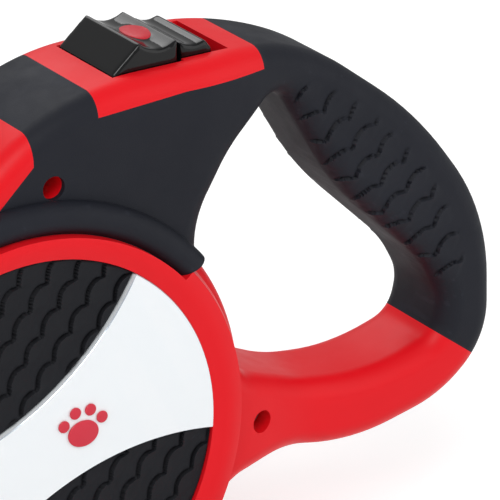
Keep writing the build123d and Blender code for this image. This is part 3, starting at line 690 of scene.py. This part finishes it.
# ---------------------------------------------------------------- side trim
@dataclass
class SideTrim:
    """Ring, scaled rubber pads, badge plate with its rim, and paw emblem of one side."""

    side: Side
    pad_r: float = 52.7
    plate_edge: tuple[tuple[float, float], ...] = ((-52.3, 4.5), (1.5, 14.0), (30.0, 43.2))
    pad_base: float = 1.3
    scale_tall: float = 0.7
    crease_deep: float = 0.7
    seat_fit: float = 0.1
    lip: float = 0.6
    least: float = 0.3
    pad_weld: float = 0.05
    fade_edge: tuple[float, float] = (0.2, 1.2)
    rim_wide: float = 1.8
    emblem_round: float = 0.25
    sharp: float = 50.0
    plate_angle: float = 20.0
    pad_angle: float = 60.0
    columns: int = 230
    rows: int = 112

    def build(self) -> None:
        """Builds this side's pieces."""
        word = self.side.word
        ring = Bench.from_node(f"{word}_side_ring", f"{word}_ring")
        Bench.smooth(ring)
        Bench.dress(ring, "root", "red_plastic", (f"{word}_side_ring",), RED_SHELL)
        self._pads()
        plate = Bench.from_node(f"{word}_badge_plate", f"{word}_plate")
        plate.data.materials.append(WHITE_PLATE.material())
        plate.data.materials.append(CLEAR_RIM.material())
        Bench.round_edges(plate, self.rim_wide * MM, 1, self.sharp, 1)
        Bench.smooth(plate, self.plate_angle)
        Bench.dress(plate, "root", "silver_plate", (f"{word}_badge_plate",), WHITE_PLATE, CLEAR_RIM)
        emblem = Bench.from_node(f"{word}_paw_emblem", f"{word}_paw")
        Bench.round_edges(emblem, self.emblem_round * MM, 3, self.sharp)
        Bench.smooth(emblem)
        Bench.dress(emblem, "root", "red_gloss", (f"{word}_paw_emblem",), RED_EMBLEM)

    def _pads(self) -> None:
        """Builds both pads as one piece, each a grid drawn to its outline and raised in scales."""
        word = self.side.word
        upper, lower = self._pad("upper", 1), self._pad("lower", -1)
        Bench.pick(upper)
        lower.select_set(True)
        bpy.ops.object.join()
        upper.name = f"{word}_scaled_pads"
        Bench.smooth(upper, self.pad_angle)
        Bench.dress(upper, "root", "pad_rubber", (f"{word}_side_pad",), BLACK_PAD)

    def _pad(self, name: str, way: int) -> bpy.types.Object:
        """One pad.

        Args:
            name: Its name for now.
            way: 1 for the upper pad, and -1 for the lower one, which is the same outline half a turn on.

        Returns:
            The closed pad.
        """
        bpy.ops.object.select_all(action="DESELECT")
        bpy.ops.mesh.primitive_grid_add(x_subdivisions=self.columns, y_subdivisions=self.rows, size=1.0)
        pad = bpy.context.object
        pad.name = name
        places = Bench.points(pad)
        along, out = places[:, 0] + 0.5, places[:, 1] + 0.5
        first, middle, last = self.plate_edge
        inner = arc(first, middle, last, along)
        start, end = np.arctan2(first[1], first[0]), np.arctan2(last[1], last[0])
        turn = start + (end - start) * along
        outer = np.stack([np.cos(turn), np.sin(turn)], axis=1) * self.pad_r
        length = np.hypot(*(outer - inner).T)
        clear = np.minimum(self.seat_fit / np.maximum(length, self.least), 0.5)
        inner = inner + (outer - inner) * clear[:, None]
        spot = (inner + (outer - inner) * out[:, None]) * way
        edge = np.minimum(out, 1 - out) * length
        rise, crease_and_shade = FishScales().relief(spot[:, 0], spot[:, 1])
        share = ease(edge, *self.fade_edge)
        rounding = self.lip - np.sqrt(np.maximum(self.lip**2 - np.maximum(self.lip - edge, 0) ** 2, 0))
        seat = self._seat()
        tall = self.pad_base + self.scale_tall * share * (rise - self.crease_deep * crease_and_shade) - rounding
        deep = seat + np.maximum(tall, self.least) * MM
        across, tall_at = REEL.x + spot[:, 0] * MM, REEL.z + spot[:, 1] * MM
        placed = np.stack([across, self.side.value * deep, tall_at], axis=1)
        Bench.place(pad, placed)
        # The crease mask, which the finish paints as shade.
        Bench.mark_painted_crease_shade(pad, crease_and_shade * share)
        Bench.pick(pad)
        bpy.ops.object.mode_set(mode="EDIT")
        bpy.ops.mesh.select_all(action="SELECT")
        bpy.ops.mesh.remove_doubles(threshold=self.pad_weld * MM)
        bpy.ops.mesh.select_all(action="DESELECT")
        bpy.ops.mesh.select_mode(type="EDGE")
        bpy.ops.mesh.select_non_manifold()
        bpy.ops.mesh.extrude_edges_move()
        bpy.ops.object.mode_set(mode="OBJECT")
        for vertex in pad.data.vertices:
            if vertex.select:
                vertex.co.y = self.side.value * seat
        bpy.ops.object.mode_set(mode="EDIT")
        bpy.ops.mesh.edge_face_add()
        bpy.ops.mesh.select_all(action="SELECT")
        bpy.ops.mesh.normals_make_consistent(inside=False)
        bpy.ops.object.mode_set(mode="OBJECT")
        return pad

    def _seat(self) -> float:
        """Depth of the reel housing's face, which the trim lies on, in metres."""
        low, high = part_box(f"{self.side.word}_badge_plate")
        return min(abs(low.y), abs(high.y))


# ---------------------------------------------------------------- buttons
@dataclass
class Buttons:
    """The brake button with its red inlay, and the lock button behind it."""

    grid: float = 0.4
    passes: int = 26
    deck: float = 90.7
    lens_half: tuple[float, float] = (3.2, 5.5)
    lens_tall: float = 0.55
    drop: float = 0.01
    lens_facets: int = 64
    lens_angle: float = 60.0

    def build(self) -> None:
        """Builds both buttons and the inlay."""
        brake = Bench.from_node("brake_button", "brake_thumb_button")
        seat = Bench.from_node("brake_inlay", "brake_inlay_seat")
        middle = Bench.points(seat).max(axis=0) / 2 + Bench.points(seat).min(axis=0) / 2
        Bench.pick(seat)
        brake.select_set(True)
        bpy.context.view_layer.objects.active = brake
        bpy.ops.object.join()
        foot = REEL.z + self.deck * MM
        Bench.soften(brake, self.grid * MM, self.passes, foot)
        inlay = self._lens(brake, middle)
        Bench.dress(inlay, "brake", "red_gloss", ("brake_inlay",), RED_INLAY)
        Bench.dress(brake, "brake", "gloss_black", ("brake_button",), GLOSS_BLACK)
        lock = Bench.from_node("lock_button", "lock_slider")
        Bench.soften(lock, self.grid * MM, self.passes, foot)
        Bench.dress(lock, "lock", "gloss_black", ("lock_button",), GLOSS_BLACK)

    def _lens(self, brake: bpy.types.Object, middle: np.ndarray) -> bpy.types.Object:
        """Makes the red oval inlay, which follows the hollow of the button's top.

        Args:
            brake: The button.
            middle: The middle of the inlay's seat.

        Returns:
            The inlay.
        """
        bpy.ops.object.select_all(action="DESELECT")
        bpy.ops.mesh.primitive_uv_sphere_add(segments=self.lens_facets, ring_count=self.lens_facets // 2)
        lens = bpy.context.object
        lens.name = "brake_button_inlay"
        spots = Bench.points(lens)
        spots[:, 0] = middle[0] + spots[:, 0] * self.lens_half[0] * MM
        spots[:, 1] = middle[1] + spots[:, 1] * self.lens_half[1] * MM
        for spot in spots:
            above = Vector((spot[0], spot[1], CAD_BOX[1].z + self.drop))
            hit, place, *_ = brake.ray_cast(above, Vector((0, 0, -1)))
            spot[2] = spot[2] * self.lens_tall * MM + (place.z if hit else middle[2])
        Bench.place(lens, spots)
        Bench.smooth(lens, self.lens_angle)
        return lens


# ---------------------------------------------------------------- inner works
@dataclass
class Works:
    """Screws, reel, springs, ratchet and tape outlet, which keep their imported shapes."""

    press: float = 3.5

    def build(self) -> None:
        """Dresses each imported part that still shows."""
        finishes = {
            "case_screws": STEEL, "spindle": STEEL, "pawl_pin": STEEL, "upper_roller_pin": STEEL,
            "lower_roller_pin": STEEL, "power_spring": DARK_STEEL,
            "lock_detent_spring": DARK_STEEL, "near_bush": BRONZE, "far_bush": BRONZE, "upper_roller": ACETAL,
            "lower_roller": ACETAL, "brake_pawl": ACETAL, "reel_drum": NYLON, "reel_flange": NYLON,
            "spring_case": NYLON, "button_chassis": NYLON, "tape_guide": NYLON, "pawl_spacer": NYLON,
            "wound_tape": TAPE}
        for node, finish in finishes.items():
            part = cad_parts[node]
            part.data.materials.clear()
            part.data.materials.append(finish.material())
            LOG.info("%s: dressed in %s", node, finish.name)
        self._return_spring()

    def _return_spring(self) -> None:
        """Adds the brake's return spring in its imported shape; the button presses on it from above."""
        spring = Bench.from_node("brake_spring", "brake_return_spring")
        Bench.smooth(spring)
        Bench.dress(spring, "root", "spring_steel", ("brake_spring",), DARK_STEEL)
        places = Bench.points(spring)
        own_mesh(spring)


# ---------------------------------------------------------------- studio
@dataclass
class Studio:
    """White floor and surround, soft lamps and the camera."""

    azimuth: float = -29.4
    elevation: float = 25.6
    away: float = 1.047
    aim_right: float = 0.0680
    aim_up: float = 0.0424
    lens: float = 298.5
    sensor: float = 36.0
    shade: float = 0.48
    floor_wide: float = 12.0
    floor_tone: float = 0.9
    floor_glow: float = 0.3
    lamps: tuple[tuple[str, tuple[float, float, float], float, float], ...] = (
        ("Key", (-0.75, -0.95, 1.25), 0.9, 12.5), ("Fill", (0.9, -0.9, 0.5), 1.1, 4.0),
        ("Back", (0.2, 1.0, 1.1), 0.9, 6.0))

    def build(self) -> None:
        """Sets up everything round the object."""
        scene = bpy.context.scene
        scene.view_settings.view_transform = "Standard"
        self._world(scene)
        self._floor()
        for lamp in self.lamps:
            self._lamp(*lamp)
        self._camera(scene)

    def _world(self, scene: bpy.types.Scene) -> None:
        """White to the camera, and a softer light on the object and in its reflections."""
        world = bpy.data.worlds.new("Studio")
        scene.world = world
        world.use_nodes = True
        tree = world.node_tree
        back = tree.nodes["Background"]
        rays = tree.nodes.new("ShaderNodeLightPath")
        seen = tree.nodes.new("ShaderNodeMath")
        seen.operation = "MAXIMUM"
        tree.links.new(rays.outputs["Is Camera Ray"], seen.inputs[0])
        tree.links.new(rays.outputs["Is Transmission Ray"], seen.inputs[1])
        level = tree.nodes.new("ShaderNodeMapRange")
        level.inputs["To Min"].default_value = self.shade
        level.inputs["To Max"].default_value = 1.0
        tree.links.new(seen.outputs["Value"], level.inputs["Value"])
        back.inputs["Color"].default_value = (1, 1, 1, 1)
        tree.links.new(level.outputs["Result"], back.inputs["Strength"])

    def _floor(self) -> None:
        """A white floor under the reel housing that keeps the shadow."""
        bpy.ops.object.select_all(action="DESELECT")
        bpy.ops.mesh.primitive_plane_add(size=self.floor_wide, location=(0, 0, CAD_BOX[0].z))
        floor = bpy.context.object
        floor.name = "studio_floor"
        made = bpy.data.materials.new("Studio floor")
        made.use_nodes = True
        tree = made.node_tree
        shader = tree.nodes["Principled BSDF"]
        shader.inputs["Base Color"].default_value = (self.floor_tone, self.floor_tone, self.floor_tone, 1)
        shader.inputs["Roughness"].default_value = self.floor_tone
        shader.inputs["Specular IOR Level"].default_value = 0.0
        shader.inputs["Emission Color"].default_value = (1, 1, 1, 1)
        rays = tree.nodes.new("ShaderNodeLightPath")
        glow = tree.nodes.new("ShaderNodeMath")
        glow.operation = "MULTIPLY"
        glow.inputs[1].default_value = self.floor_glow
        tree.links.new(rays.outputs["Is Camera Ray"], glow.inputs[0])
        tree.links.new(glow.outputs["Value"], shader.inputs["Emission Strength"])
        floor.data.materials.append(made)

    @staticmethod
    def _lamp(name: str, place: tuple[float, float, float], size: float, power: float) -> None:
        """Adds a square soft lamp that points at the reel.

        Args:
            name: Its name.
            place: Where it hangs, from the reel's middle, in metres.
            size: Its side.
            power: Its power in watts.
        """
        lamp = bpy.data.lights.new(name, "AREA")
        lamp.size = size
        lamp.energy = power
        stand = bpy.data.objects.new(name, lamp)
        bpy.context.scene.collection.objects.link(stand)
        stand.location = REEL + Vector(place)
        stand.rotation_euler = (-Vector(place)).to_track_quat("-Z", "Y").to_euler()

    def _camera(self, scene: bpy.types.Scene) -> None:
        """Puts the camera up, looking past the reel at the hand loop."""
        turn, tilt = radians(self.azimuth), radians(self.elevation)
        back = Vector((sin(turn) * cos(tilt), -cos(turn) * cos(tilt), sin(tilt)))
        right = Vector((cos(turn), sin(turn), 0.0))
        up = back.cross(right)
        eye = bpy.data.cameras.new("Camera")
        eye.lens = self.lens
        eye.sensor_width = self.sensor
        stand = bpy.data.objects.new("Camera", eye)
        scene.collection.objects.link(stand)
        aim = REEL + right * self.aim_right + up * self.aim_up
        stand.location = REEL + back * self.away
        stand.rotation_euler = (aim - stand.location).to_track_quat("-Z", "Y").to_euler()
        scene.camera = stand


def main() -> None:
    """Builds the leash's looks and the studio."""
    logging.basicConfig(level=logging.INFO, format="%(message)s")
    Casing().build()
    for side in Side:
        SideTrim(side).build()
    Buttons().build()
    Works().build()
    Studio().build()


if __name__ == "__main__":
    main()
